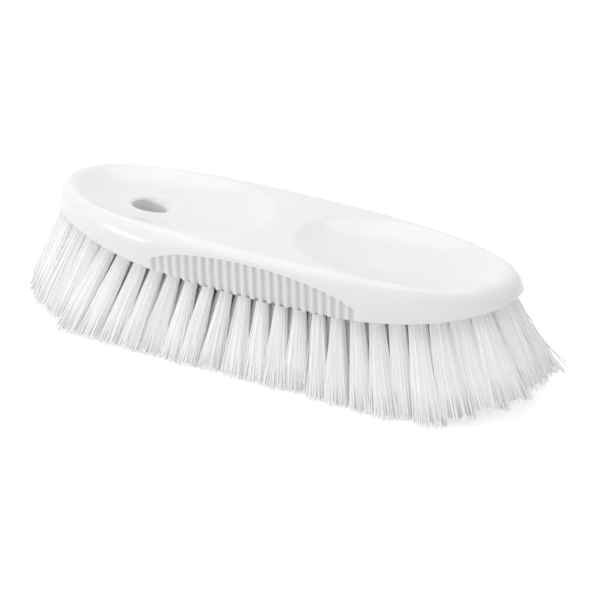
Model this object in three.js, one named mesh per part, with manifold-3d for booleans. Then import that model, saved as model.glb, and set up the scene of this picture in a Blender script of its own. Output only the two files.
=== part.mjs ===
// Churn brush: a moulded block with two palm hollows, ribbed finger grips and a hanging hole, filled with
// fanned tufts of bristles that are each pinned by a flat anchor staple.
// Millimetres, +Z up, X along the block, standing on the bristle tips at z = 0.

import * as THREE from 'three';
import { mergeVertices } from 'three/addons/utils/BufferGeometryUtils.js';
import Module from 'manifold-3d';

const wasm = await Module();
wasm.setup();

// Block
const blockLength = 229;
const blockWidth = 71.5;
const blockThickness = 20.4; // top face to lower edge, at mid-length
const outlinePower = 2.26; // 2 is an ellipse, more is squarer
const rimRadius = 6;
const wallFlare = 0.9; // lower edge beyond the widest line under the rim
const endThickness = 6.4; // top face to lower edge, at the ends
const endRisePower = 3.1; // how late the lower edge curves up to the ends
const undersideCrown = 8.5; // middle of the underside below its edge
const trimHeight = 38; // lower edge at mid-length above the bristle tips

// Palm hollows
const hollowEndMargin = 8; // end of the block to the end of a hollow
const hollowSideMargin = 9.75; // widest line of the block to the side of a hollow
const hollowSaddle = 9; // flat between the two hollows
const hollowDepth = 7.5;
const hollowEdgeAngle = THREE.MathUtils.degToRad(60); // arc of the bowl from its floor to its edge

// Hanging hole
const hangHoleLength = 20.4;
const hangHoleWidth = 14;
const hangHoleInset = 45; // end of the block to the centre of the hole

// Finger grips
const gripLength = 114;
const gripTopDrop = 4.4; // top face to the top of the grip
const gripUndercut = 5; // how far the lower edge is set in
const gripEndMargin = 4.2; // end of the grip to the first groove's pitch
const groovePitch = 4.4;
const grooveWidth = 2.4;
const grooveDepth = 1.5;
const grooveTopMargin = 0.4; // top of the grip to the top of a groove

// Backing that the tufts are fused to, let into the underside
const backingThickness = 3;
const backingSideWall = 1.9; // plastic between the backing and the grip's grooves
const backingEndWall = 2.4; // plastic between the backing and the block's ends
const fitGap = 0.3;

// Tufts
const tuftPitch = 9.2;
const ringRowCount = 2;
const tuftEdgeMargin = 3.1; // centre of an outer tuft to the edge of the backing
const tuftHoleMargin = 4.4; // centre of a tuft to the edge of the hanging hole
const tuftClearance = 0.6; // least space between the roots of two tufts
const fanAlong = 0.42; // lean of an end tuft, sideways per height
const fanAcross = 0.46; // lean of a side tuft, sideways per height
const flatTrimLength = 120; // stretch of the tips that stands level
const endTipRise = 5; // tips of the end tufts above the level stretch
const strandsPerTuft = 3;
const strandSides = 3;
const strandRadius = 1.2;
const strandEmbed = 2.3; // how far a strand runs up into the backing
const tuftRootRadius = 1.6; // circle of the strands' centres where they leave the block
const tuftTipRadius = 3.4; // the same circle at the tips

// Anchor staples
const stapleWidth = 5.6;
const stapleThickness = 0.5;
const stapleHeight = 2.2;

// Facets
const outlineSegments = 72;
const rimSegments = 4;
const wallSegments = 2;
const undersideRings = 3;
const backingSegments = 32;
const backingRings = 3;
const hollowSegments = 40;
const holeSegments = 24;
const roundEndSegments = 2;
const archSegments = 20;
const cutReach = 40; // how far a cutting tool runs past what it cuts

const topHeight = trimHeight + blockThickness;
const endRise = blockThickness - endThickness;
const rimOutline = { halfLength: blockLength / 2, halfWidth: blockWidth / 2 };
const lowerOutline = grow(rimOutline, wallFlare);
const backingOutline = {
  halfLength: lowerOutline.halfLength - backingEndWall - fitGap,
  halfWidth: lowerOutline.halfWidth - gripUndercut - grooveDepth - backingSideWall - fitGap,
};
const outerRow = grow(backingOutline, -tuftEdgeMargin);
const rowGap = outerRow.halfWidth / (ringRowCount + 0.5);
const hangHoleCentre = hangHoleInset - blockLength / 2;

function grow(outline, distance) {
  return { halfLength: outline.halfLength + distance, halfWidth: outline.halfWidth + distance };
}

function shrink(outline, scale) {
  return { halfLength: outline.halfLength * scale, halfWidth: outline.halfWidth * scale };
}

// A superellipse, run anticlockwise from the +X end
function outlinePoints(outline, segments = outlineSegments) {
  const points = [];
  for (let k = 0; k < segments; k++) {
    const angle = (2 * Math.PI * k) / segments;
    const x = Math.sign(Math.cos(angle)) * Math.abs(Math.cos(angle)) ** (2 / outlinePower);
    const y = Math.sign(Math.sin(angle)) * Math.abs(Math.sin(angle)) ** (2 / outlinePower);
    points.push(new THREE.Vector2(outline.halfLength * x, outline.halfWidth * y));
  }
  return points;
}

// Height of the underside, which rises to the ends and bulges down in the middle
function undersideAt(x, y) {
  const along = Math.abs(x) / lowerOutline.halfLength;
  const across = Math.abs(y) / lowerOutline.halfWidth;
  const fromCentre = (along ** outlinePower + across ** outlinePower) ** (1 / outlinePower);
  return trimHeight + endRise * along ** endRisePower - undersideCrown * (1 - fromCentre ** 2);
}

// A closed skin through rings of points, from an upper pole to a lower one
function skin(upperPole, rings, lowerPole) {
  const points = [upperPole, ...rings.flat(), lowerPole];
  const last = points.length - 1;
  const segments = rings[0].length;
  const index = [];
  const at = (ring, k) => 1 + ring * segments + (k % segments);
  for (let k = 0; k < segments; k++) {
    index.push(0, at(0, k), at(0, k + 1));
    for (let ring = 1; ring < rings.length; ring++) {
      index.push(at(ring - 1, k), at(ring, k), at(ring, k + 1));
      index.push(at(ring - 1, k), at(ring, k + 1), at(ring - 1, k + 1));
    }
    index.push(last, at(rings.length - 1, k + 1), at(rings.length - 1, k));
  }
  const geometry = new THREE.BufferGeometry().setFromPoints(points);
  geometry.setIndex(index);
  return geometry;
}

function solid(geometry) {
  const bare = geometry.clone();
  bare.deleteAttribute('normal');
  bare.deleteAttribute('uv');
  const merged = mergeVertices(bare);
  const vertProperties = new Float32Array(merged.attributes.position.array);
  const triVerts = new Uint32Array(merged.index.array);
  return new wasm.Manifold(new wasm.Mesh({ numProp: 3, vertProperties, triVerts }));
}

function geometryOf(shape) {
  const { vertProperties, triVerts } = shape.getMesh();
  const geometry = new THREE.BufferGeometry();
  geometry.setAttribute('position', new THREE.BufferAttribute(new Float32Array(vertProperties), 3));
  geometry.setIndex(new THREE.BufferAttribute(new Uint32Array(triVerts), 1));
  geometry.computeVertexNormals();
  return geometry;
}

// The block before anything is cut from it
function blockBlank() {
  const rings = [];
  for (let step = 0; step <= rimSegments; step++) {
    const turn = (Math.PI / 2) * (step / rimSegments);
    const inset = rimRadius * (1 - Math.sin(turn));
    const height = topHeight - rimRadius * (1 - Math.cos(turn));
    rings.push(outlinePoints(grow(rimOutline, -inset)).map((p) => new THREE.Vector3(p.x, p.y, height)));
  }
  const wallTop = topHeight - rimRadius;
  for (let step = 1; step <= wallSegments; step++) {
    const share = step / wallSegments;
    const outline = outlinePoints(grow(rimOutline, wallFlare * share));
    const lowerEdge = outlinePoints(lowerOutline).map((p) => undersideAt(p.x, p.y));
    rings.push(outline.map((p, k) => {
      return new THREE.Vector3(p.x, p.y, THREE.MathUtils.lerp(wallTop, lowerEdge[k], share));
    }));
  }
  for (let step = 1; step < undersideRings; step++) {
    rings.push(undersideRing(shrink(lowerOutline, 1 - step / undersideRings), 0, outlineSegments));
  }
  return skin(new THREE.Vector3(0, 0, topHeight), rings, new THREE.Vector3(0, 0, undersideAt(0, 0)));
}

function undersideRing(outline, lift, segments) {
  return outlinePoints(outline, segments).map((p) => {
    return new THREE.Vector3(p.x, p.y, undersideAt(p.x, p.y) + lift);
  });
}

// A slice of the underside, from one distance above it to another
function undersideSlice(outline, upperLift, lowerLift) {
  const rings = [];
  for (let step = 1; step <= backingRings; step++) {
    rings.push(undersideRing(shrink(outline, step / backingRings), upperLift, backingSegments));
  }
  for (let step = backingRings; step >= 1; step--) {
    rings.push(undersideRing(shrink(outline, step / backingRings), lowerLift, backingSegments));
  }
  const upperPole = new THREE.Vector3(0, 0, undersideAt(0, 0) + upperLift);
  const lowerPole = new THREE.Vector3(0, 0, undersideAt(0, 0) + lowerLift);
  return skin(upperPole, rings, lowerPole);
}

// A bowl whose edge is an ellipse on the top face
function palmHollow(side) {
  const halfLength = (blockLength / 2 - hollowEndMargin - hollowSaddle / 2) / 2;
  const halfWidth = blockWidth / 2 - hollowSideMargin;
  const bowlHeight = hollowDepth / (1 - Math.cos(hollowEdgeAngle));
  const spread = 1 / Math.sin(hollowEdgeAngle);
  const bowl = new THREE.SphereGeometry(1, hollowSegments, hollowSegments / 2);
  bowl.rotateX(Math.PI / 2);
  bowl.scale(halfLength * spread, halfWidth * spread, bowlHeight);
  bowl.translate(side * (hollowSaddle / 2 + halfLength), 0, topHeight + bowlHeight - hollowDepth);
  return bowl;
}

function hangHole() {
  const hole = new THREE.CylinderGeometry(1, 1, 2 * (topHeight + cutReach), holeSegments);
  hole.rotateX(Math.PI / 2);
  hole.scale(hangHoleLength / 2, hangHoleWidth / 2, 1);
  hole.translate(hangHoleCentre, 0, 0);
  return hole;
}

// The arch-shaped plane and the grooves of one finger grip, cut into the -Y side
function fingerGrip() {
  const gripHeight = blockThickness - gripTopDrop;
  const lowerEdge = lowerOutline.halfWidth - gripUndercut;
  const tilt = Math.atan((rimOutline.halfWidth - lowerEdge) / gripHeight);
  const slant = gripHeight / Math.cos(tilt);
  const halfLength = gripLength / 2;
  const settings = { depth: cutReach, bevelEnabled: false, steps: 1 };

  const arch = new THREE.Shape();
  arch.moveTo(-halfLength, -cutReach);
  arch.lineTo(halfLength, -cutReach);
  arch.absellipse(0, 0, halfLength, slant, 0, Math.PI, false);
  const pieces = [new THREE.ExtrudeGeometry(arch, { ...settings, curveSegments: archSegments })];

  const grooveCount = Math.round((gripLength - 2 * gripEndMargin) / groovePitch);
  for (let k = 0; k < grooveCount; k++) {
    const x = (k - (grooveCount - 1) / 2) * groovePitch;
    const top = slant * Math.sqrt(1 - (x / halfLength) ** 2) - grooveTopMargin;
    const groove = new THREE.Shape();
    groove.moveTo(-grooveWidth / 2, -cutReach);
    groove.lineTo(grooveWidth / 2, -cutReach);
    groove.absarc(0, top - grooveWidth / 2, grooveWidth / 2, 0, Math.PI, false);
    const tool = new THREE.ExtrudeGeometry(groove, { ...settings, curveSegments: roundEndSegments });
    pieces.push(tool.translate(x, 0, -grooveDepth));
  }
  for (const piece of pieces) {
    piece.rotateX(Math.PI / 2 + tilt);
    piece.translate(0, -lowerEdge, trimHeight);
  }
  return pieces;
}

// Even places along a ring row, none of them on the X or Y axis
function ringRow(outline) {
  const corners = outlinePoints(outline).map((p) => new THREE.Vector3(p.x, p.y, 0));
  const ring = new THREE.CatmullRomCurve3(corners, true);
  const count = 4 * Math.round(ring.getLength() / tuftPitch / 4);
  const places = [];
  for (let k = 0; k < count; k++) {
    const point = ring.getPointAt((k + 0.5) / count);
    places.push(new THREE.Vector2(point.x, point.y));
  }
  return places;
}

// Even places along the two straight rows beside the middle of the underside
function innerRows() {
  const halfLength = outerRow.halfLength - ringRowCount * rowGap;
  const count = 2 * Math.round(halfLength / tuftPitch);
  const places = [];
  for (let k = 0; k < count; k++) {
    const x = halfLength * ((2 * k + 1) / count - 1);
    places.push(new THREE.Vector2(x, rowGap / 2), new THREE.Vector2(x, -rowGap / 2));
  }
  return places;
}

// Whether a place keeps its distance from tufts that are already there
function clearOfTufts(place, others) {
  const least = 2 * (tuftRootRadius + strandRadius) + tuftClearance;
  return others.every((other) => other.distanceTo(place) > least);
}

function clearOfHangHole(place) {
  const along = (place.x - hangHoleCentre) / (hangHoleLength / 2 + tuftHoleMargin);
  const across = place.y / (hangHoleWidth / 2 + tuftHoleMargin);
  return along ** 2 + across ** 2 > 1;
}

// A tuft's root on the underside, its sideways lean for each millimetre down, and the height of its tips
function tuftAt(place) {
  const root = new THREE.Vector3(place.x, place.y, undersideAt(place.x, place.y));
  const along = place.x / outerRow.halfLength;
  const across = place.y / outerRow.halfWidth;
  const lean = new THREE.Vector2(fanAlong * along, fanAcross * Math.sin((Math.PI / 2) * across));
  const pastFlat = Math.max(0, Math.abs(place.x) - flatTrimLength / 2);
  const tipHeight = endTipRise * (pastFlat / (outerRow.halfLength - flatTrimLength / 2)) ** 2;
  return { root, lean, tipHeight };
}

// One straight strand, from inside the backing to its flat-cut tip
function strand(tuft, turn) {
  const { root, lean, tipHeight } = tuft;
  const heights = [root.z + strandEmbed, tipHeight];
  const points = [];
  for (const height of heights) {
    const drop = root.z - height;
    const ring = THREE.MathUtils.lerp(tuftRootRadius, tuftTipRadius, drop / (root.z - tipHeight));
    const centre = new THREE.Vector2(root.x + lean.x * drop, root.y + lean.y * drop);
    centre.add(new THREE.Vector2(ring * Math.cos(turn), ring * Math.sin(turn)));
    for (let side = 0; side < strandSides; side++) {
      const angle = turn + (2 * Math.PI * side) / strandSides;
      const x = centre.x + strandRadius * Math.cos(angle);
      const y = centre.y + strandRadius * Math.sin(angle);
      points.push(new THREE.Vector3(x, y, height));
    }
  }
  const index = [];
  for (let side = 0; side < strandSides; side++) {
    const next = (side + 1) % strandSides;
    index.push(side, strandSides + side, strandSides + next, side, strandSides + next, next);
  }
  for (let side = 1; side + 1 < strandSides; side++) {
    index.push(0, side, side + 1, strandSides, strandSides + side + 1, strandSides + side);
  }
  const geometry = new THREE.BufferGeometry().setFromPoints(points);
  geometry.setIndex(index);
  return geometry;
}

function stapleBox(gap) {
  return new THREE.BoxGeometry(stapleWidth + 2 * gap, stapleThickness + 2 * gap, stapleHeight + 2 * gap);
}

// A staple stands on its tuft's line, just above the backing
function stapleSeat(tuft) {
  const axis = new THREE.Vector3(-tuft.lean.x, -tuft.lean.y, 1).normalize();
  const lift = backingThickness + 2 * fitGap + stapleHeight;
  const position = tuft.root.clone().addScaledVector(axis, lift);
  const turn = new THREE.Quaternion().setFromUnitVectors(new THREE.Vector3(0, 0, 1), axis);
  return { position, turn };
}

// The slot that a staple sits in, open to the backing's pocket below it
function stapleSlot(seat) {
  const slot = stapleBox(fitGap);
  slot.scale(1, 1, 2);
  slot.translate(0, 0, -(stapleHeight + 2 * fitGap) / 2);
  slot.applyQuaternion(seat.turn);
  slot.translate(seat.position.x, seat.position.y, seat.position.z);
  return slot;
}

function quarterBox(sideX, sideY) {
  const size = blockLength + blockWidth;
  const box = new THREE.BoxGeometry(size, size, size);
  return box.translate((sideX * (size + fitGap)) / 2, (sideY * (size + fitGap)) / 2, 0);
}

// Tufts, row by row from the edge of the underside
const ringRows = [];
for (let row = 0; row < ringRowCount; row++) {
  ringRows.push(ringRow(grow(outerRow, -row * rowGap)).filter(clearOfHangHole));
}
const ringPlaces = ringRows.flat();
const innerPlaces = innerRows().filter((place) => clearOfHangHole(place) && clearOfTufts(place, ringPlaces));
const tufts = [...ringPlaces, ...innerPlaces].map(tuftAt);
const seats = ringRows[0].map(tuftAt).map(stapleSeat);

// Materials
const blockPlastic = new THREE.MeshStandardMaterial({ color: 0xf1f2f2, roughness: 0.28, metalness: 0 });
const bristlePlastic = new THREE.MeshStandardMaterial({ color: 0xf3f3f1, roughness: 0.45, metalness: 0 });
const stapleSteel = new THREE.MeshStandardMaterial({ color: 0xb4b7ba, roughness: 0.35, metalness: 1 });

function addMesh(group, name, geometry, material) {
  const mesh = new THREE.Mesh(geometry, material);
  mesh.name = name;
  group.add(mesh);
  return mesh;
}

const brush = new THREE.Group();

// Block
let block = solid(blockBlank());
for (const side of [-1, 1]) {
  block = block.subtract(solid(palmHollow(side)));
}
for (const tool of fingerGrip()) {
  block = block.subtract(solid(tool));
  block = block.subtract(solid(tool.rotateZ(Math.PI)));
}
const pocketOutline = grow(backingOutline, fitGap);
block = block.subtract(solid(undersideSlice(pocketOutline, backingThickness + fitGap, -cutReach)));
for (const seat of seats) {
  block = block.subtract(solid(stapleSlot(seat)));
}
block = block.subtract(solid(hangHole()));
addMesh(brush, 'brush_block', geometryOf(block), blockPlastic);

// Bristles, a node for each quarter of the underside
const backing = solid(undersideSlice(backingOutline, backingThickness, 0)).subtract(solid(hangHole()));
const quarters = [
  { name: 'bristles_front_left', sideX: -1, sideY: -1 },
  { name: 'bristles_front_right', sideX: 1, sideY: -1 },
  { name: 'bristles_back_left', sideX: -1, sideY: 1 },
  { name: 'bristles_back_right', sideX: 1, sideY: 1 },
];
for (const { name, sideX, sideY } of quarters) {
  let bristles = backing.intersect(solid(quarterBox(sideX, sideY)));
  for (const tuft of tufts) {
    if (Math.sign(tuft.root.x) !== sideX || Math.sign(tuft.root.y) !== sideY) continue;
    const outward = Math.atan2(tuft.lean.y, tuft.lean.x);
    for (let k = 0; k < strandsPerTuft; k++) {
      bristles = bristles.add(solid(strand(tuft, outward + (2 * Math.PI * k) / strandsPerTuft)));
    }
  }
  addMesh(brush, name, geometryOf(bristles), bristlePlastic);
}

// Anchor staples of the outer row
seats.forEach((seat, k) => {
  const name = `anchor_staple_${String(k + 1).padStart(2, '0')}`;
  const staple = addMesh(brush, name, stapleBox(0), stapleSteel);
  staple.position.copy(seat.position);
  staple.quaternion.copy(seat.turn);
});

export default brush;
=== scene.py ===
import math
import random

import bmesh
import bpy
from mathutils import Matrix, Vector


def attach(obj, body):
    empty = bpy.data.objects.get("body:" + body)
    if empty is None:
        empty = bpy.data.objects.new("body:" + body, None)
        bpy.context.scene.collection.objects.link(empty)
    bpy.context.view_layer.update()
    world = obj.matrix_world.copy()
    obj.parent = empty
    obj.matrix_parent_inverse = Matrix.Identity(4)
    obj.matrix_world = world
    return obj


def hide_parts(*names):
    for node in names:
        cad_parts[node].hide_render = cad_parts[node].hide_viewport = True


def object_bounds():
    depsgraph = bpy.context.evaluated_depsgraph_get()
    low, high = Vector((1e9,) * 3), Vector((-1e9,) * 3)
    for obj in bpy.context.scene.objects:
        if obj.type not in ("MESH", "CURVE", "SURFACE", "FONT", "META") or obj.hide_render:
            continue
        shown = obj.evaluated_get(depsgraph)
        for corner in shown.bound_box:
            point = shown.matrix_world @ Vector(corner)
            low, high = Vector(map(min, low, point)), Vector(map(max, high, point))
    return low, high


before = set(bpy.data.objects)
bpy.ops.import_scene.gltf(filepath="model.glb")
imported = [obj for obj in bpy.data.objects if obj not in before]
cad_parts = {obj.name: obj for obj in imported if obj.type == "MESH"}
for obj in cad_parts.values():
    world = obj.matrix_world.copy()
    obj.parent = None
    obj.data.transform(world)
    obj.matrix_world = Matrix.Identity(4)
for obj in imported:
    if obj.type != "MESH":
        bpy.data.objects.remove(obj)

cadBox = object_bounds()
mm = 0.001  # sizes below are in millimetres, except where a note says metres
print("frame loaded:", len(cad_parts), "nodes")


# Shapes shared by the block and the tufts

outline = {
    "halfLength": 116.2,  # widest line of the block, under the rim
    "halfWidth": 37.2,
    "power": 2.4,  # 2 is an ellipse, more is squarer
}
underside = {
    "flare": -0.5,  # lower edge beyond the widest line
    "edgeHeight": 38.0,  # lower edge at mid-length, above the tips
    "endRise": 13.0,
    "endRisePower": 3.1,
    "crown": 8.5,  # middle of the underside below its edge
    "fieldInset": (5.0, 4.0),  # from the edge to the even rows of the mesh, along and across
}
lowerHalfLength = outline["halfLength"] + underside["flare"]
lowerHalfWidth = outline["halfWidth"] + underside["flare"]


def smoothStep(low, high, value):
    share = min(1.0, max(0.0, (value - low) / (high - low)))
    return share * share * (3 - 2 * share)


def softMin(a, b, softness):
    overlap = max(0.0, softness - abs(a - b)) / softness
    return min(a, b) - overlap * overlap * softness / 4


def lerp(a, b, share):
    return a + (b - a) * share


def reach(x, y, halfLength, halfWidth, power):  # 1 on the superellipse, 0 at its middle
    return (abs(x / halfLength) ** power + abs(y / halfWidth) ** power) ** (1 / power)


def outlinePoint(turn, halfLength, halfWidth, power):
    x = math.copysign(abs(math.cos(turn)) ** (2 / power), math.cos(turn))
    y = math.copysign(abs(math.sin(turn)) ** (2 / power), math.sin(turn))
    return Vector((halfLength * x, halfWidth * y))


def outward(place, halfLength, halfWidth, power):  # square to the superellipse through a place
    x = math.copysign(abs(place.x / halfLength) ** (power - 1) / halfLength, place.x)
    y = math.copysign(abs(place.y / halfWidth) ** (power - 1) / halfWidth, place.y)
    return Vector((x, y)).normalized()


def undersideAt(x, y):
    fromMiddle = reach(x, y, lowerHalfLength, lowerHalfWidth, outline["power"])
    rise = underside["endRise"] * abs(x / lowerHalfLength) ** underside["endRisePower"]
    return underside["edgeHeight"] + rise - underside["crown"] * (1 - fromMiddle ** 2)


def finishPiece(name, bm, material, nodes):
    mesh = bpy.data.meshes.new(name)
    bm.to_mesh(mesh)
    bm.free()
    mesh.materials.append(material)
    piece = bpy.data.objects.new(name, mesh)
    bpy.context.scene.collection.objects.link(piece)
    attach(piece, "root")
    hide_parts(*nodes)


# Camera, at the photograph's angle

view = {
    "azimuth": 28.75,  # degrees round from the front, towards +X
    "elevation": 28.0,
    "distance": 1502.3,
    "aimRight": 6.84,  # middle of the picture from the origin
    "aimUp": 17.77,
    "lens": 199.3,
    "sensor": 36.0,
    "clipEnd": 100.0,  # metres
}


def makeCamera():
    azimuth = math.radians(view["azimuth"])
    elevation = math.radians(view["elevation"])
    flat = math.cos(elevation)
    back = Vector((math.sin(azimuth) * flat, -math.cos(azimuth) * flat, math.sin(elevation)))
    right = Vector((math.cos(azimuth), math.sin(azimuth), 0))
    up = back.cross(right)
    camera = bpy.data.objects.new("camera", bpy.data.cameras.new("camera"))
    camera.data.lens = view["lens"]
    camera.data.sensor_width = view["sensor"]
    camera.data.clip_end = view["clipEnd"]
    camera.location = (back * view["distance"] + right * view["aimRight"] + up * view["aimUp"]) * mm
    camera.rotation_euler = (-back).to_track_quat("-Z", "Y").to_euler()
    bpy.context.scene.collection.objects.link(camera)
    bpy.context.scene.camera = camera


makeCamera()
print("camera placed")


# Materials: a noise's settings have the names of its sockets, tints are places on a ramp and colours

def newMaterial(name):
    material = bpy.data.materials.new(name)
    material.use_nodes = True
    nodes = material.node_tree.nodes
    return material, nodes, material.node_tree.links, nodes["Principled BSDF"]


def addNode(nodes, kind, **sockets):
    node = nodes.new(kind)
    for name, value in sockets.items():
        node.inputs[name].default_value = value
    return node


def addNoise(nodes, links, place, settings):
    noise = addNode(nodes, "ShaderNodeTexNoise", **settings)
    links.new(place, noise.inputs["Vector"])
    return noise.outputs["Fac"]


def addTint(nodes, links, pattern, stops):
    ramp = nodes.new("ShaderNodeValToRGB")
    elements = ramp.color_ramp.elements
    while len(elements) < len(stops):
        elements.new(0.5)  # moved to its place below
    for element, (place, colour) in zip(elements, stops):
        element.position = place
        element.color = (*colour, 1)
    links.new(pattern, ramp.inputs["Fac"])
    return ramp.outputs["Color"]


def addGloss(nodes, links, pattern, roughness, shader):
    gloss = nodes.new("ShaderNodeMapRange")
    gloss.inputs["To Min"].default_value, gloss.inputs["To Max"].default_value = roughness
    links.new(pattern, gloss.inputs["Value"])
    links.new(gloss.outputs["Result"], shader.inputs["Roughness"])


blockFinish = {
    "cloud": {"Scale": 45.0, "Detail": 4.0, "Roughness": 0.55},
    "tints": [(0.3, (0.775, 0.778, 0.777)), (0.7, (0.80, 0.802, 0.80))],
    "wear": {"Scale": 160.0, "Detail": 6.0, "Roughness": 0.6},
    "roughness": (0.1, 0.17),
    "skin": {"Scale": 900.0, "Detail": 3.0},
    "bump": {"Strength": 0.05, "Distance": 0.0002},  # metres
    "refraction": 1.49,
}


def blockPlastic():
    material, nodes, links, shader = newMaterial("gloss white plastic")
    place = nodes.new("ShaderNodeTexCoord").outputs["Object"]
    cloud = addNoise(nodes, links, place, blockFinish["cloud"])
    links.new(addTint(nodes, links, cloud, blockFinish["tints"]), shader.inputs["Base Color"])
    wear = addNoise(nodes, links, place, blockFinish["wear"])
    addGloss(nodes, links, wear, blockFinish["roughness"], shader)
    skin = addNoise(nodes, links, place, blockFinish["skin"])
    bump = addNode(nodes, "ShaderNodeBump", **blockFinish["bump"])
    links.new(skin, bump.inputs["Height"])
    links.new(bump.outputs["Normal"], shader.inputs["Normal"])
    shader.inputs["IOR"].default_value = blockFinish["refraction"]
    return material


shadeMap = {
    "name": "OFBake",  # strands lie side by side across it, from root to tip
    "cells": 48,  # columns, of which each filament takes one
    "cellMargin": 0.1,  # share of a column, or of one side's strip in it, left free at each edge
    "endMargin": 0.02,
}
filamentFinish = {
    "strands": {"Scale": 60.0, "Detail": 1.0},
    "shades": [(0.3, (0.90, 0.901, 0.899)), (0.7, (0.94, 0.94, 0.937))],
    # from root to tip: painted shade, a few hundredths darker over the first quarter where the
    # filaments run under the block; the cut tips a touch darker
    "lengthTonesWithRootShade": [
        (0.0, (0.97, 0.97, 0.965)),
        (0.25, (1, 1, 1)),
        (0.97, (1, 1, 1)),
        (1.0, (0.98, 0.98, 0.98)),
    ],
    "roughness": (0.5, 0.65),
}


def filamentPlastic():
    material, nodes, links, shader = newMaterial("bristle filament")
    place = nodes.new("ShaderNodeUVMap")
    place.uv_map = shadeMap["name"]
    split = nodes.new("ShaderNodeSeparateXYZ")
    links.new(place.outputs["UV"], split.inputs["Vector"])
    strands = addNode(nodes, "ShaderNodeTexNoise", **filamentFinish["strands"])
    strands.noise_dimensions = "1D"
    links.new(split.outputs["X"], strands.inputs["W"])
    shade = addTint(nodes, links, strands.outputs["Fac"], filamentFinish["shades"])
    # painted shade along each filament, darkest at the root under the block
    length = addTint(nodes, links, split.outputs["Y"], filamentFinish["lengthTonesWithRootShade"])
    blend = nodes.new("ShaderNodeMix")
    blend.data_type = "RGBA"
    blend.blend_type = "MULTIPLY"
    blend.inputs["Factor"].default_value = 1.0
    links.new(shade, blend.inputs[6])  # the colour sockets, whose names aren't unique
    links.new(length, blend.inputs[7])
    links.new(blend.outputs[2], shader.inputs["Base Color"])
    addGloss(nodes, links, strands.outputs["Fac"], filamentFinish["roughness"], shader)
    return material


steelFinish = {
    "stretch": (300, 300, 3000),  # grains per metre, along each axis
    "grain": {"Scale": 1.0, "Detail": 4.0},
    "tints": [(0.3, (0.52, 0.53, 0.54)), (0.7, (0.66, 0.67, 0.68))],
    "roughness": (0.25, 0.45),
}


def stapleSteel():
    material, nodes, links, shader = newMaterial("staple steel")
    place = nodes.new("ShaderNodeTexCoord")
    stretch = addNode(nodes, "ShaderNodeMapping", Scale=steelFinish["stretch"])
    links.new(place.outputs["Object"], stretch.inputs["Vector"])
    grain = addNoise(nodes, links, stretch.outputs["Vector"], steelFinish["grain"])
    links.new(addTint(nodes, links, grain, steelFinish["tints"]), shader.inputs["Base Color"])
    addGloss(nodes, links, grain, steelFinish["roughness"], shader)
    shader.inputs["Metallic"].default_value = 1.0
    return material


# Block: each half is a wall, a top and an underside, in columns that start from the outline

block = {
    "top": 58.399,
    "rimInset": 7.5,  # the rim's rounding, across and down
    "rimDepth": 12.5,
    "shoulderTurn": math.radians(40),  # how far round the rim the top reaches
    "edgeRound": 0.6,  # lower edge
    "rowGap": 0.05,  # least distance between two rows of the mesh
    "mergeDistance": 0.002,  # where its sheets meet
}
hollow = {
    "centre": 56.5,
    "halfLength": 49.0,
    "halfWidth": 28.3,
    "depth": 7.5,
    "endPower": 3.0,  # steep ends
    "sidePower": 1.45,  # nearly straight sides
    "sideRound": 0.25,
    "lipRound": 0.8,
    "lipReach": 2.0,  # width of the fine rows on each side of the lip
}
hangHole = {
    "centre": -70.2,
    "halfLength": 8.2,
    "halfWidth": 6.0,
    "draft": 1.0,  # narrower by this all round at the underside
    "bevel": (1.2, 3.4),  # narrow at the near left, wide at the far right
    "widestWay": Vector((0.75, 0.66)),
    "bevelChange": (-0.3, 0.9),  # shares of the widest way between which it widens
}
bevelSteps = [(0.08, 0.02), (0.22, 0.1), (0.84, 0.6), (0.96, 0.76), (1, 1)]  # across and down
grip = {
    "centre": 2.0,  # a little towards the end without the hole
    "halfLength": 57.0,
    "top": 54.0,
    "edgeWidth": 34.3,  # half-width over the ribs at the lower edge
    "lean": 0.05,  # wider by this for each millimetre up
    "crease": 1.0,  # rounding where the ribs meet the wall
    "creaseReach": (4.0, 1.2),  # how far beyond the grip it may lie, along and up
    "pitch": 4.32,
    "grooves": 12,  # on each half of a side
    "grooveFloor": 1.9,  # flat width between two half-round ribs
    "grooveDepth": 1.9,
    "grooveDrop": 0.4,  # top of the grip to the top of a groove
    "grooveFade": (0.3, 0.15),  # below and above the top of a groove
}
ribTurns = [0, 15, 30, 45, 58, 68, 76, 90]  # degrees round a rib, one column at each
grooveTopRows = {  # fine rows of the wall round the tops of the grooves
    "half": 0.6,  # half of their height
    "halfShare": 0.08,  # its limit, and those of their place, as shares of the wall's height
    "lowest": 0.25,
    "spareAbove": 0.03,
}
endColumns = 52
seamColumns = 30
wallSteps = {"shoulder": 5, "grooveTop": 7, "wall": 8, "edge": 4}
topSteps = {"rim": 8, "land": 3, "lip": 12, "bowl": 14}
underSteps = 7
holeSteps = 6
settleRounds = 6  # to find a wall's lower end
halvings = 32  # of a stretch, to find where a test passes zero

shoulderHeight = block["top"] - block["rimDepth"] * (1 - math.cos(block["shoulderTurn"]))


def widthAt(x):  # half-width of the widest line
    power = outline["power"]
    return outline["halfWidth"] * (1 - abs(x / outline["halfLength"]) ** power) ** (1 / power)


def halfColumns(side):  # round one end, from the front at the grip's middle to the back
    places = []
    ribHalf = (grip["pitch"] - grip["grooveFloor"]) / 2
    steps = [ribHalf * math.sin(math.radians(turn)) for turn in ribTurns]
    steps += [grip["pitch"] - step for step in steps[:0:-1]]
    for groove in range(grip["grooves"]):
        for step in steps:
            x = grip["centre"] + side * (groove * grip["pitch"] + step)
            places.append(Vector((x, widthAt(x))))
    last = grip["centre"] + side * grip["grooves"] * grip["pitch"]
    firstTurn = math.acos(abs(last / outline["halfLength"]) ** (outline["power"] / 2))
    for step in range(endColumns + 1):
        place = outlinePoint(firstTurn * (1 - step / endColumns), **outline)
        places.append(Vector((side * place.x, place.y)))
    front = [Vector((place.x, -place.y)) for place in places]
    return front + places[-2::-1]


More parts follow.
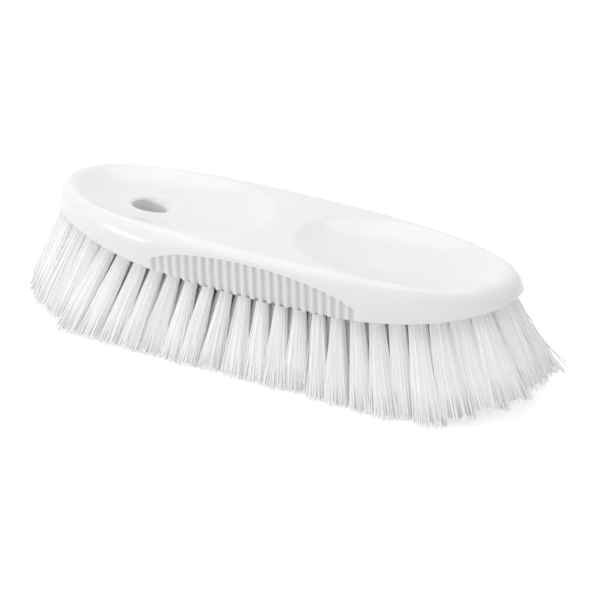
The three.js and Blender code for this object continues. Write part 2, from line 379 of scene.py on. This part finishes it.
def grooveShare(x):  # 1 on a groove's floor, 0 on the crest of a rib
    pitches = abs(x - grip["centre"]) / grip["pitch"]
    if pitches > grip["grooves"]:
        return 0.0
    fromCrest = abs(pitches - round(pitches)) * grip["pitch"]
    across = min(1.0, fromCrest * 2 / (grip["pitch"] - grip["grooveFloor"]))
    return 1 - math.sqrt(1 - across * across)


def archTop(x):
    rise = math.sqrt(max(0.0, 1 - ((x - grip["centre"]) / grip["halfLength"]) ** 2))
    return lerp(underside["edgeHeight"], grip["top"], rise)


def grooveCut(x, z):
    top = archTop(x) - grip["grooveDrop"]
    below, above = grip["grooveFade"]
    return grip["grooveDepth"] * grooveShare(x) * (1 - smoothStep(top - below, top + above, z))


def wallGrow(z):  # how far the wall stands outside the widest line, never more than 0
    wallTop = block["top"] - block["rimDepth"]
    if z < wallTop:
        return underside["flare"] * (wallTop - z) / (wallTop - underside["edgeHeight"])
    turn = math.acos(max(-1.0, 1 - (block["top"] - z) / block["rimDepth"]))
    return -block["rimInset"] * (1 - math.sin(turn))


def wallPoint(base, z):
    grow = wallGrow(z)
    x = base.x * (1 + grow / outline["halfLength"])
    y = base.y * (1 + grow / outline["halfWidth"])
    along, up = grip["creaseReach"]
    if abs(base.x - grip["centre"]) < grip["halfLength"] + along and z < grip["top"] + up:
        ribs = grip["edgeWidth"] + (z - underside["edgeHeight"]) * grip["lean"]
        y = math.copysign(softMin(abs(y), ribs, grip["crease"]) - grooveCut(base.x, z), y)
    return Vector((x, y, z))


def lowerEnd(base):  # where the wall or the grip meets the underside
    z = underside["edgeHeight"]
    for _ in range(settleRounds):
        point = wallPoint(base, z)
        z = undersideAt(point.x, point.y)
    return z


def wallColumn(base):  # from the shoulder down over the grip and round the lower edge
    foot = lowerEnd(base) + block["edgeRound"]
    span = shoulderHeight - foot
    half = min(grooveTopRows["half"], grooveTopRows["halfShare"] * span)
    middle = max(archTop(base.x) - grip["grooveDrop"], foot + grooveTopRows["lowest"] * span)
    middle = min(middle, shoulderHeight - half - grooveTopRows["spareAbove"] * span)
    stretches = [
        (shoulderHeight, middle + half, wallSteps["shoulder"]),
        (middle + half, middle - half, wallSteps["grooveTop"]),
        (middle - half, foot, wallSteps["wall"]),
    ]
    points = []
    for high, low, steps in stretches:
        points += [wallPoint(base, lerp(high, low, step / steps)) for step in range(steps)]
    edge = wallPoint(base, foot)
    inward = -outward(base, **outline).to_3d()
    for step in range(wallSteps["edge"] + 1):
        turn = math.pi / 2 * step / wallSteps["edge"]
        drop = Vector((0, 0, -block["edgeRound"] * math.sin(turn)))
        points.append(edge + drop + inward * block["edgeRound"] * (1 - math.cos(turn)))
    return points


def lastBelow(test, low, high):  # where a rising test passes zero
    for _ in range(halvings):
        middle = (low + high) / 2
        if test(middle) < 0:
            low = middle
        else:
            high = middle
    return low


def rimDrop(x, y):  # depth of the rounded rim below the top
    inset = block["rimInset"]

    def outside(grow):
        sizes = (outline["halfLength"] + grow, outline["halfWidth"] + grow)
        return 1 - reach(x, y, *sizes, outline["power"])

    if outside(-inset) >= 0:
        return 0.0
    grow = lastBelow(outside, -inset, 0.0)
    return block["rimDepth"] * (1 - math.cos(math.asin(1 + grow / inset)))


def bowlDrop(x, y):  # depth of a hollow's bowl, less than 0 beyond its edge
    along = abs((abs(x) - hollow["centre"]) / hollow["halfLength"]) ** hollow["endPower"]
    soft = hollow["sideRound"] ** 2
    half = hollow["sidePower"] / 2
    across = ((y / hollow["halfWidth"]) ** 2 + soft) ** half - soft ** half
    return hollow["depth"] * (1 - along - across / ((1 + soft) ** half - soft ** half))


def topAt(x, y):
    return block["top"] + softMin(-rimDrop(x, y), -bowlDrop(x, y), hollow["lipRound"])


def onSurface(place, height):
    return Vector((place.x, place.y, height(place.x, place.y)))


def holeDistance(way):
    return 1 / math.hypot(way.x / hangHole["halfLength"], way.y / hangHole["halfWidth"])


def holeBevel(way):
    share = smoothStep(*hangHole["bevelChange"], way.dot(hangHole["widestWay"]))
    return lerp(*hangHole["bevel"], share)


def rayFrom(side, outer, draft=0.0):  # from the hole, or from its mirror image in the whole hollow
    origin = Vector((side * -hangHole["centre"], 0))
    way = outer.xy - origin
    whole = way.length
    way.normalize()
    last = holeDistance(way) + holeBevel(way) - draft if side < 0 else 0.0
    return origin, way, whole, last


def holeRim(origin, way, last, height, sign):  # bevelled edge of the hanging hole
    points = []
    bevel = holeBevel(way)
    for across, down in bevelSteps:
        place = origin + way * (last - bevel * across)
        z = height(place.x, place.y) + sign * bevel * down
        points.append(Vector((place.x, place.y, z)))
    return points


def topColumn(outer, side):  # from the shoulder over rim and lip to the hole or the bowl's middle
    origin, way, whole, last = rayFrom(side, outer)
    rimSizes = (outline["halfLength"] - block["rimInset"], outline["halfWidth"] - block["rimInset"])

    def beyondRim(distance):
        place = origin + way * distance
        return reach(place.x, place.y, *rimSizes, outline["power"]) - 1

    def beyondLip(distance):
        place = origin + way * distance
        return rimDrop(place.x, place.y) - bowlDrop(place.x, place.y)

    lip = lastBelow(beyondLip, last, whole)
    lipOut = lip + hollow["lipReach"]
    lipIn = lip - hollow["lipReach"]
    gap = block["rowGap"]
    rimEnd = max(lastBelow(beyondRim, last, whole), lipOut + gap)
    rimEnd = min(rimEnd, whole - 2 * gap)
    lipOut = min(lipOut, rimEnd - gap)
    stretches = [
        (whole, rimEnd, topSteps["rim"]),
        (rimEnd, lipOut, topSteps["land"]),
        (lipOut, lipIn, topSteps["lip"]),
        (lipIn, last, topSteps["bowl"]),
    ]
    distances = []
    for start, stop, steps in stretches:
        distances += [lerp(start, stop, step / steps) for step in range(steps)]
    points = [outer]
    for distance in distances[1:] + [last]:
        points.append(onSurface(origin + way * distance, topAt))
    if side < 0:
        points += holeRim(origin, way, last, topAt, -1)
    return points


def underColumn(outer, aim, side):  # from the lower edge to the hole or to a middle
    origin, way, whole, last = rayFrom(side, aim, hangHole["draft"])
    along, across = underside["fieldInset"]
    sizes = (lowerHalfLength - along, grip["edgeWidth"] - across)

    def beyondField(distance):
        place = origin + way * distance
        return reach(place.x, place.y, *sizes, outline["power"]) - 1

    field = min(lastBelow(beyondField, last, whole), whole - block["rowGap"])
    points = [outer]
    for step in range(underSteps + 1):
        points.append(onSurface(origin + way * lerp(field, last, step / underSteps), undersideAt))
    if side < 0:
        points += holeRim(origin, way, last, undersideAt, 1)
    return points


def addSheet(bm, columns):  # a grid whose columns are lists of points
    across = len(columns) - 1
    down = len(columns[0]) - 1
    made = bmesh.ops.create_grid(bm, x_segments=across, y_segments=down, size=1)
    for vert in made["verts"]:
        column = round((vert.co.x + 1) / 2 * across)
        row = round((vert.co.y + 1) / 2 * down)
        vert.co = columns[column][row] * mm


def withSeam(edge, height):  # closes a half's edge along the line where the two halves meet
    flat = outline["halfWidth"] - block["rimInset"]
    widths = [lerp(edge[-1].y, flat, step / topSteps["rim"]) for step in range(1, topSteps["rim"])]
    inner = [lerp(flat, -flat, step / seamColumns) for step in range(seamColumns + 1)]
    widths = widths + inner + [-y for y in reversed(widths)]
    middle = grip["centre"]
    return edge + [Vector((middle, y, height(middle, y))) for y in widths] + [edge[0]]


def makeBlock():
    bm = bmesh.new()
    for side in (-1, 1):
        bases = halfColumns(side)
        wall = [wallColumn(base) for base in bases]
        top = [topColumn(point, side) for point in withSeam([column[0] for column in wall], topAt)]
        lowerEdge = withSeam([column[-1] for column in wall], undersideAt)
        aims = bases + [point.xy for point in lowerEdge[len(bases):-1]] + [bases[0]]
        under = [underColumn(point, aim, side) for point, aim in zip(lowerEdge, aims)]
        for columns in (wall, top, under):
            addSheet(bm, columns)
        if side < 0:
            shares = [step / holeSteps for step in range(holeSteps + 1)]
            hole = []
            for upper, lower in zip(top, under):
                hole.append([upper[-1].lerp(lower[-1], share) for share in shares])
            addSheet(bm, hole)
    bmesh.ops.remove_doubles(bm, verts=bm.verts, dist=block["mergeDistance"] * mm)
    bmesh.ops.recalc_face_normals(bm, faces=bm.faces)
    for face in bm.faces:
        face.smooth = True
    openEdges = sum(not edge.is_manifold for edge in bm.edges)
    print("block:", len(bm.faces), "faces,", openEdges, "open edges")
    finishPiece("moulded_block", bm, blockPlastic(), ["brush_block"])


makeBlock()


# Tufts: fans of filaments over packed cores, in the rows of the underside

rows = {
    "pitch": 9.2,
    "outerHalfLength": 109.6,
    "outerHalfWidth": 28.0,
    "power": 2.26,  # roundness of the ring rows
    "second": 5.6,  # insets of the staggered second row and of the third
    "third": 13.5,
    "inner": 4.75,  # half-distance between the two straight rows
    "leastDistance": 6.2,  # between the roots of two tufts
    "holeClear": (14.6, 11.4),  # half-sizes of the field left free round the hole
    "steps": 720,  # of the curve along which a ring row is measured
}
tuft = {
    "fanLeft": 0.44,  # sideways lean per height at the ends
    "fanRight": 0.56,
    "fanAcross": 0.37,
    "splay": [(-57, 48, 0.13), (62, 34, 0.05)],  # more lean on the front: place, half-width, amount
    "splayFrom": 10.0,  # the front begins this far from the middle line
    "splayFade": (0.3, 1.0),  # shares of the half-width between which it ends
    "leanScatter": 0.032,
    "flatTrim": 78.0,  # half of the stretch whose tips stand level
    "leftTipRise": (6.5, 1.3),  # rise at the end and its power
    "rightTipRise": (13.0, 0.95),
    "rootDepth": 2.9,  # half-size at the root, across the row
    "rootWidth": (2.4, 4.4),  # and along the row, at mid-length and at the ends
    "rootChange": (30, 100),  # distances from mid-length between which it changes
    "tipSpread": 3.9,  # half-width at the tips, across the row
    "tipFan": (6.6, 10.0),  # and along the row, at mid-length and at the ends
    "fanChange": (70, 105),
    "fanScatter": (0.85, 1.15),
    "boxMargin": 0.1,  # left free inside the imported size
    "embed": 3.0,  # how far a filament runs up into the block
    "bends": 3,
    "seed": 11,
}
packedCore = {
    "sides": 16,
    "share": 0.93,  # its size within the fan
    "flutes": (0.94, 1.0),
    "short": 1.0,  # from its end to the tips
    "taper": 0.92,
    "taperChange": (0.6, 1.0),  # shares of its length
    "ragged": 2.6,  # how unevenly it ends
    "raggedFrom": 0.9,
}
filament = {
    "count": 112,  # in a tuft
    "sides": 5,
    "radius": 0.2,
    "radiusScatter": (0.9, 1.08),
    "innerEvery": 3,  # one in three stands anywhere in the tuft, the others in its shell
    "shell": 0.72,  # share of the tuft's area that lies inside it
    "turnScatter": 0.3,
    "drift": (0.3, 0.5),  # of the tip, at mid-length and at the ends
    "driftChange": (85, 105),
    "looseShare": 0.05,  # of the filaments, which drift further
    "looseDrift": 4.0,
    "bow": 0.22,
    "cutScatter": 0.9,
}
stray = {  # long filaments that stand out at the right end
    "count": 10,
    "root": Vector((106.5, 6.0)),
    "rootScatter": (1.2, 2.5),
    "tip": Vector((128.8, 21.0, 9.5)),
    "tipScatter": (1.3, 3.2, 1.6),
    "sag": 1.2,  # bow below a straight line
    "radius": 0.24,
}
goldenTurn = math.pi * (3 - math.sqrt(5))
packedLimit = [size / mm - tuft["boxMargin"] for size in cadBox[1]]  # for the tips, from the origin


def ringPlaces(inset):  # even places along a ring row
    sizes = (rows["outerHalfLength"] - inset, rows["outerHalfWidth"] - inset, rows["power"])
    turns = [2 * math.pi * step / rows["steps"] for step in range(rows["steps"] + 1)]
    ring = [outlinePoint(turn, *sizes) for turn in turns]
    lengths = [0.0]
    for a, b in zip(ring, ring[1:]):
        lengths.append(lengths[-1] + (b - a).length)
    count = 4 * round(lengths[-1] / rows["pitch"] / 4)  # as many in each quarter
    places = []
    at = 0
    for k in range(count):
        wanted = lengths[-1] * (k + 0.5) / count
        while lengths[at + 1] < wanted:
            at += 1
        share = (wanted - lengths[at]) / (lengths[at + 1] - lengths[at])
        places.append(ring[at].lerp(ring[at + 1], share))
    return places


def staggeredPlaces(ring, inset):  # inside the gaps of a ring row
    places = []
    for a, b in zip(ring, ring[1:] + ring[:1]):
        inner = (b - a).orthogonal().normalized()
        places.append((a + b) / 2 + inner * inset)
    return places


def innerPlaces():  # even places along the two straight rows
    halfLength = rows["outerHalfLength"] - rows["third"]
    count = 2 * round(halfLength / rows["pitch"])
    places = []
    for k in range(count):
        x = halfLength * ((2 * k + 1) / count - 1)
        places += [Vector((x, rows["inner"])), Vector((x, -rows["inner"]))]
    return places


def clearOfHole(place):
    along = (place.x - hangHole["centre"]) / rows["holeClear"][0]
    return math.hypot(along, place.y / rows["holeClear"][1]) > 1


def tuftPlaces():
    outer = ringPlaces(0.0)
    kept = outer + staggeredPlaces(outer, rows["second"])
    for place in ringPlaces(rows["third"]) + innerPlaces():
        apart = min((place - other).length for other in kept)
        if clearOfHole(place) and apart > rows["leastDistance"]:
            kept.append(place)
    return kept


def leanAt(place):
    across = tuft["fanAcross"] * math.sin(math.pi / 2 * place.y / rows["outerHalfWidth"])
    for middle, halfWidth, amount in tuft["splay"]:
        if place.y < -tuft["splayFrom"]:
            across -= amount * (1 - smoothStep(*tuft["splayFade"], abs(place.x - middle) / halfWidth))
    fanAlong = tuft["fanLeft"] if place.x < 0 else tuft["fanRight"]
    return Vector((fanAlong * place.x / rows["outerHalfLength"], across))


def tipHeight(place):
    past = max(0.0, abs(place.x) - tuft["flatTrim"]) / (rows["outerHalfLength"] - tuft["flatTrim"])
    rise, power = tuft["leftTipRise"] if place.x < 0 else tuft["rightTipRise"]
    return rise * past ** power


def within(most, value):
    return max(-most, min(most, value))


def insideBox(x, y, z):
    return Vector((within(packedLimit[0], x), within(packedLimit[1], y), z))


def shapeTuft(place, rng):  # where a tuft stands, how it leans and how wide it fans
    fromMiddle = abs(place.x)
    root = undersideAt(place.x, place.y)
    tip = tipHeight(place)
    lean = leanAt(place) + Vector([rng.gauss(0, tuft["leanScatter"]) for _ in range(2)])
    out = outward(place, rows["outerHalfLength"], rows["outerHalfWidth"], rows["power"])
    tipFan = lerp(*tuft["tipFan"], smoothStep(*tuft["fanChange"], fromMiddle))
    tipFan *= rng.uniform(*tuft["fanScatter"])
    for axis in (0, 1):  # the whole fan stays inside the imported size
        extent = math.hypot(out[axis] * tuft["tipSpread"], out.orthogonal()[axis] * tipFan)
        most = (packedLimit[axis] - extent - abs(place[axis])) / (root - tip)
        lean[axis] = within(most, lean[axis])
    return {
        "place": place,
        "root": root,
        "tip": tip,
        "lean": lean,
        "out": out,
        "rootWidth": lerp(*tuft["rootWidth"], smoothStep(*tuft["rootChange"], fromMiddle)),
        "tipFan": tipFan,
        "drift": lerp(*filament["drift"], smoothStep(*filament["driftChange"], fromMiddle)),
    }


def fanShare(shape, height):  # 0 at the root, 1 at the tips
    return max(0.0, (shape["root"] - height) / (shape["root"] - shape["tip"]))


def fanPlace(shape, offset, height):  # a place in the root's circle, spread out towards the tips
    fan = fanShare(shape, height)
    along = shape["out"].orthogonal() * offset.y * lerp(shape["rootWidth"], shape["tipFan"], fan)
    spread = shape["out"] * offset.x * lerp(tuft["rootDepth"], tuft["tipSpread"], fan) + along
    return shape["place"] + shape["lean"] * (shape["root"] - height) + spread


def rodMesh(name, sides, pointed=False):  # upright, one unit long
    bm = bmesh.new()
    bmesh.ops.create_cone(bm, cap_ends=True, segments=sides, radius1=1, radius2=1, depth=1)
    upright = [edge for edge in bm.edges if abs(edge.verts[0].co.z - edge.verts[1].co.z) > 0.5]
    bmesh.ops.subdivide_edges(bm, edges=upright, cuts=tuft["bends"] - 1, use_grid_fill=True)
    if pointed:  # a point in the middle of the lower end
        ends = [face for face in bm.faces if len(face.verts) == sides]
        bmesh.ops.poke(bm, faces=[face for face in ends if face.normal.z < 0])
    mesh = bpy.data.meshes.new(name)
    bm.to_mesh(mesh)
    bm.free()
    return mesh


def addRod(bm, rod, sides, cells, bend):  # a copy of the rod, bent by a function, with its shades
    layer = bm.loops.layers.uv.verify()
    known = len(bm.verts)
    knownFaces = len(bm.faces)
    bm.from_mesh(rod)
    bm.verts.ensure_lookup_table()
    bm.faces.ensure_lookup_table()
    shares = {}
    for vert in bm.verts[known:]:
        shares[vert] = 0.5 - vert.co.z  # 0 at the root, 1 at the tip
        vert.co = bend(vert.co, shares[vert]) * mm
    margin = shadeMap["cellMargin"]
    endMargin = shadeMap["endMargin"]
    for number, face in enumerate(bm.faces[knownFaces:]):
        for corner, loop in enumerate(face.loops):
            strip = 1 - margin if corner in (1, 2) else margin
            across = lerp(*cells, (number % sides + strip) / sides)
            loop[layer].uv = (across, lerp(endMargin, 1 - endMargin, shares[loop.vert]))
    return bm.faces[knownFaces:]


def pickCell(rng):  # the two edges of one column of the shade map
    cell = rng.randrange(shadeMap["cells"])
    margin = shadeMap["cellMargin"]
    return (cell + margin) / shadeMap["cells"], (cell + 1 - margin) / shadeMap["cells"]


def addCore(bm, core, shape, rng):
    flutes = [rng.uniform(*packedCore["flutes"]) for _ in range(packedCore["sides"])]

    def bend(at, share):
        ragged = rng.uniform(0, packedCore["ragged"])
        end = shape["tip"] + packedCore["short"] + (share > packedCore["raggedFrom"]) * ragged
        height = lerp(shape["root"] + tuft["embed"], end, share)
        flute = flutes[round(math.atan2(at.y, at.x) / (2 * math.pi) * packedCore["sides"])]
        taper = lerp(1, packedCore["taper"], smoothStep(*packedCore["taperChange"], share))
        centre = fanPlace(shape, at.xy * (packedCore["share"] * flute * taper), height)
        return insideBox(centre.x, centre.y, height)

    for face in addRod(bm, core, packedCore["sides"], (0.0, 1.0), bend):
        face.smooth = len(face.verts) == 4


def addFilament(bm, strand, shape, number, twist, rng):
    share = (number + 0.5) / filament["count"]
    if number % filament["innerEvery"]:
        share = lerp(filament["shell"], 1, share)
    scatter = filament["turnScatter"]
    angle = twist + number * goldenTurn + rng.uniform(-scatter, scatter)
    offset = Vector((math.cos(angle), math.sin(angle))) * math.sqrt(share)
    drift = Vector([rng.gauss(0, shape["drift"]) for _ in range(2)])
    if rng.random() < filament["looseShare"]:
        drift *= filament["looseDrift"]
    bow = Vector([rng.gauss(0, filament["bow"]) for _ in range(2)])
    cut = shape["tip"] + abs(rng.gauss(0, filament["cutScatter"]))
    radius = filament["radius"] * rng.uniform(*filament["radiusScatter"])

    def bend(at, share):
        height = lerp(shape["root"] + tuft["embed"], cut, share)
        fan = fanShare(shape, height)
        centre = fanPlace(shape, offset, height) + (drift * fan + bow * math.sin(math.pi * fan))
        return insideBox(centre.x + at.x * radius, centre.y + at.y * radius, height)

    addRod(bm, strand, filament["sides"], pickCell(rng), bend)


def addTuft(bm, strand, core, place, rng):
    shape = shapeTuft(place, rng)
    addCore(bm, core, shape, rng)
    twist = rng.uniform(0, 2 * math.pi)
    for number in range(filament["count"]):
        addFilament(bm, strand, shape, number, twist, rng)


def addStrays(bm, strand, rng):
    for _ in range(stray["count"]):
        place = stray["root"] + Vector([rng.gauss(0, much) for much in stray["rootScatter"]])
        start = Vector((place.x, place.y, undersideAt(place.x, place.y) + tuft["embed"]))
        end = stray["tip"] + Vector([rng.uniform(-much, much) for much in stray["tipScatter"]])

        def bend(at, share):
            drop = Vector((0, 0, stray["sag"] * math.sin(math.pi * share)))
            return start.lerp(end, share) - drop + Vector((at.x, at.y, 0)) * stray["radius"]

        addRod(bm, strand, filament["sides"], pickCell(rng), bend)


def bristleMesh():
    bm = bmesh.new()
    bm.loops.layers.uv.new(shadeMap["name"])
    return bm


def joinTufts(places, strand, core, rng):  # each is made by itself first, which is quicker
    bm = bristleMesh()
    for place in places:
        one = bristleMesh()
        addTuft(one, strand, core, place, rng)
        mesh = bpy.data.meshes.new("tuft")
        one.to_mesh(mesh)
        one.free()
        bm.from_mesh(mesh)
        bpy.data.meshes.remove(mesh)
    return bm


def makeTufts():
    rng = random.Random(tuft["seed"])
    material = filamentPlastic()
    strand = rodMesh("filament", filament["sides"])
    core = rodMesh("core", packedCore["sides"], pointed=True)
    places = tuftPlaces()
    quarters = {
        "tufts_front_left": (-1, -1, "bristles_front_left"),
        "tufts_front_right": (1, -1, "bristles_front_right"),
        "tufts_back_left": (-1, 1, "bristles_back_left"),
        "tufts_back_right": (1, 1, "bristles_back_right"),
    }
    for name, (sideX, sideY, node) in quarters.items():
        end = [place for place in places if (place.x < 0) == (sideX < 0)]
        quarter = [place for place in end if (place.y < 0) == (sideY < 0)]
        bm = joinTufts(quarter, strand, core, rng)
        if name == "tufts_back_right":
            addStrays(bm, strand, rng)
        print(name, len(quarter), "tufts,", len(bm.faces), "faces")
        finishPiece(name, bm, material, [node])
    bpy.data.meshes.remove(strand)
    bpy.data.meshes.remove(core)


makeTufts()


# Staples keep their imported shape

def finishStaples():
    steel = stapleSteel()
    staples = [node for name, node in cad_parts.items() if name.startswith("anchor_staple")]
    for staple in staples:
        staple.data.materials.clear()
        staple.data.materials.append(steel)
    print("staples:", len(staples), "of steel")


finishStaples()


# Studio

studio = {
    "floorSize": 40.0,  # metres
    "floorDrop": 0.0002,  # metres below the tips
    "floorGrey": 0.85,
    "floorGlow": 0.57,  # seen by the camera and in reflections only
    "ambient": 0.715,
    "bounces": 24,  # pale bristles pass light on many times
}
softboxes = {  # metres, strength as brightness of the panel
    "overhead": {"place": (-0.5, -0.2, 1.7), "size": (2.0, 2.0), "strength": 1.27},
    "left": {"place": (-1.23, -1.13, 0.62), "size": (1.2, 1.1), "strength": 0.65},
    "strip": {"place": (-1.21, -1.15, 0.15), "size": (0.38, 0.29), "strength": 4.5},
}
white = (1, 1, 1, 1)


def seenDirectly(nodes, links):  # 1 for the camera, reflections and glass, 0 for light on the object
    path = nodes.new("ShaderNodeLightPath")
    total = path.outputs["Is Camera Ray"]
    for name in ("Is Glossy Ray", "Is Transmission Ray"):
        most = nodes.new("ShaderNodeMath")
        most.operation = "MAXIMUM"
        links.new(total, most.inputs[0])
        links.new(path.outputs[name], most.inputs[1])
        total = most.outputs[0]
    return total


def mixSeen(nodes, links, lighting, seen, output):  # one shader lights the object, the other is seen
    mix = nodes.new("ShaderNodeMixShader")
    links.new(seenDirectly(nodes, links), mix.inputs["Fac"])
    links.new(lighting.outputs[0], mix.inputs[1])
    links.new(seen.outputs[0], mix.inputs[2])
    links.new(mix.outputs[0], nodes[output].inputs["Surface"])


def floorCloth():
    material, nodes, links, shader = newMaterial("white floor")
    nodes.remove(shader)
    grey = studio["floorGrey"]
    cloth = addNode(nodes, "ShaderNodeBsdfDiffuse", Color=(grey, grey, grey, 1))
    glow = addNode(nodes, "ShaderNodeEmission", Color=white, Strength=studio["floorGlow"])
    add = nodes.new("ShaderNodeAddShader")
    links.new(cloth.outputs[0], add.inputs[0])
    links.new(glow.outputs[0], add.inputs[1])
    mixSeen(nodes, links, cloth, add, "Material Output")
    return material


def makeFloor():
    bm = bmesh.new()
    bmesh.ops.create_grid(bm, x_segments=1, y_segments=1, size=studio["floorSize"] / 2)
    mesh = bpy.data.meshes.new("floor")
    bm.to_mesh(mesh)
    bm.free()
    mesh.materials.append(floorCloth())
    floor = bpy.data.objects.new("floor", mesh)
    floor.location.z = -studio["floorDrop"]
    bpy.context.scene.collection.objects.link(floor)


def makeWorld():
    world = bpy.data.worlds.new("studio")
    bpy.context.scene.world = world
    world.use_nodes = True
    nodes, links = world.node_tree.nodes, world.node_tree.links
    sky = nodes["Background"]
    sky.inputs["Color"].default_value = white
    sky.inputs["Strength"].default_value = studio["ambient"]
    backdrop = addNode(nodes, "ShaderNodeBackground", Color=white, Strength=1.0)
    mixSeen(nodes, links, sky, backdrop, "World Output")


def makeSoftboxes():
    for name, box in softboxes.items():
        lamp = bpy.data.lights.new(name, "AREA")
        lamp.shape = "RECTANGLE"
        lamp.size, lamp.size_y = box["size"]
        lamp.energy = box["strength"] * math.pi * lamp.size * lamp.size_y
        panel = bpy.data.objects.new(name, lamp)
        panel.location = box["place"]
        panel.rotation_euler = Vector(box["place"]).to_track_quat("Z", "Y").to_euler()
        bpy.context.scene.collection.objects.link(panel)


makeFloor()
makeWorld()
makeSoftboxes()
bpy.context.scene.view_settings.view_transform = "Standard"
bpy.context.scene.cycles.diffuse_bounces = studio["bounces"]
bpy.context.scene.cycles.max_bounces = studio["bounces"]
print("studio lit")
